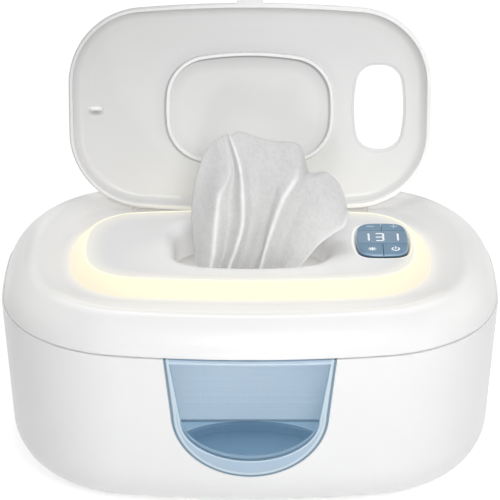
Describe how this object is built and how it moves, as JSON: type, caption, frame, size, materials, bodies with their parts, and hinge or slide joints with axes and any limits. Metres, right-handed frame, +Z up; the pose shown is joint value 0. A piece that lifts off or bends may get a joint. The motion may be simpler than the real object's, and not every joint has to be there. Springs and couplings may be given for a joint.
{
  "type": "baby wipe warmer",
  "caption": "Top-heated baby wipe warmer with a hinged cover, a dispensing lid, a lit ring round the opening, a key pad and a clear front window.",
  "frame": {"origin": "middle of the whole footprint, rear hinge knuckles included, on the surface the feet stand on", "axes": "+Z up, +X to the right seen from the front, -Y towards the front with the window"},
  "size_m": [0.25, 0.1921, 0.2129],
  "materials": {
    "shell_white": "satin",
    "window_blue": "polished clear",
    "diffuser": "satin, lit from inside",
    "tray_plastic": "satin",
    "foot_rubber": "matte",
    "seal_silicone": "matte",
    "key_blue": "satin",
    "display_blue": "polished",
    "inner_plastic": "satin",
    "component_black": "matte",
    "board_green": "solder-masked",
    "led_white": "clear",
    "steel": "turned",
    "heater_aluminium": "rolled",
    "heater_amber": "film",
    "wipe_cloth": "damp nonwoven"
  },
  "bodies": {
    "housing": {"lower_housing": "shell_white", "front_window": "window_blue", "wipe_tray": "tray_plastic", "rubber_feet": "foot_rubber", "wipe_stack": "wipe_cloth", "cover_hinge_pins": "steel"},
    "cover": {"top_cover": "shell_white", "light_ring": "diffuser", "led_strip": "led_white", "top_deck": "shell_white", "key_carrier": "inner_plastic", "display_lens": "display_blue", "display_module": "component_black", "control_board": "board_green", "key_switches": "component_black", "heater_plate": "heater_aluminium", "heater_film": "heater_amber", "thermal_cutoff": "component_black", "temperature_sensor": "component_black", "cover_liner": "inner_plastic", "cover_seal": "seal_silicone", "liner_screws": "steel", "plate_screws": "steel", "dc_inlet": "component_black", "lid_hinge_pin": "steel", "dispensed_wipe": "wipe_cloth"},
    "lid": {"lid_shell": "shell_white", "lid_seal": "seal_silicone"},
    "key_minus": {"key_minus": "key_blue"},
    "key_plus": {"key_plus": "key_blue"},
    "key_light": {"key_light": "key_blue"},
    "key_power": {"key_power": "key_blue"}
  },
  "joints": [
    {"name": "cover_hinge", "type": "hinge", "parent": "housing", "child": "cover", "pos_m": [0, 0.0927, 0.0915], "axis": [-1, 0, 0], "range_deg": [0, 75]},
    {"name": "lid_hinge", "type": "hinge", "parent": "cover", "child": "lid", "pos_m": [0, 0.051, 0.1051], "axis": [-1, 0, 0], "range_deg": [-101, 0], "deforming": ["dispensed_wipe"]},
    {"name": "press_minus", "type": "slide", "parent": "cover", "child": "key_minus", "axis": [0, 0, -1], "range_m": [0, 0.0006], "stiffness_N_per_m": 900},
    {"name": "press_plus", "type": "slide", "parent": "cover", "child": "key_plus", "axis": [0, 0, -1], "range_m": [0, 0.0006], "stiffness_N_per_m": 900},
    {"name": "press_light", "type": "slide", "parent": "cover", "child": "key_light", "axis": [0, 0, -1], "range_m": [0, 0.0006], "stiffness_N_per_m": 900},
    {"name": "press_power", "type": "slide", "parent": "cover", "child": "key_power", "axis": [0, 0, -1], "range_m": [0, 0.0006], "stiffness_N_per_m": 900}
  ]
}
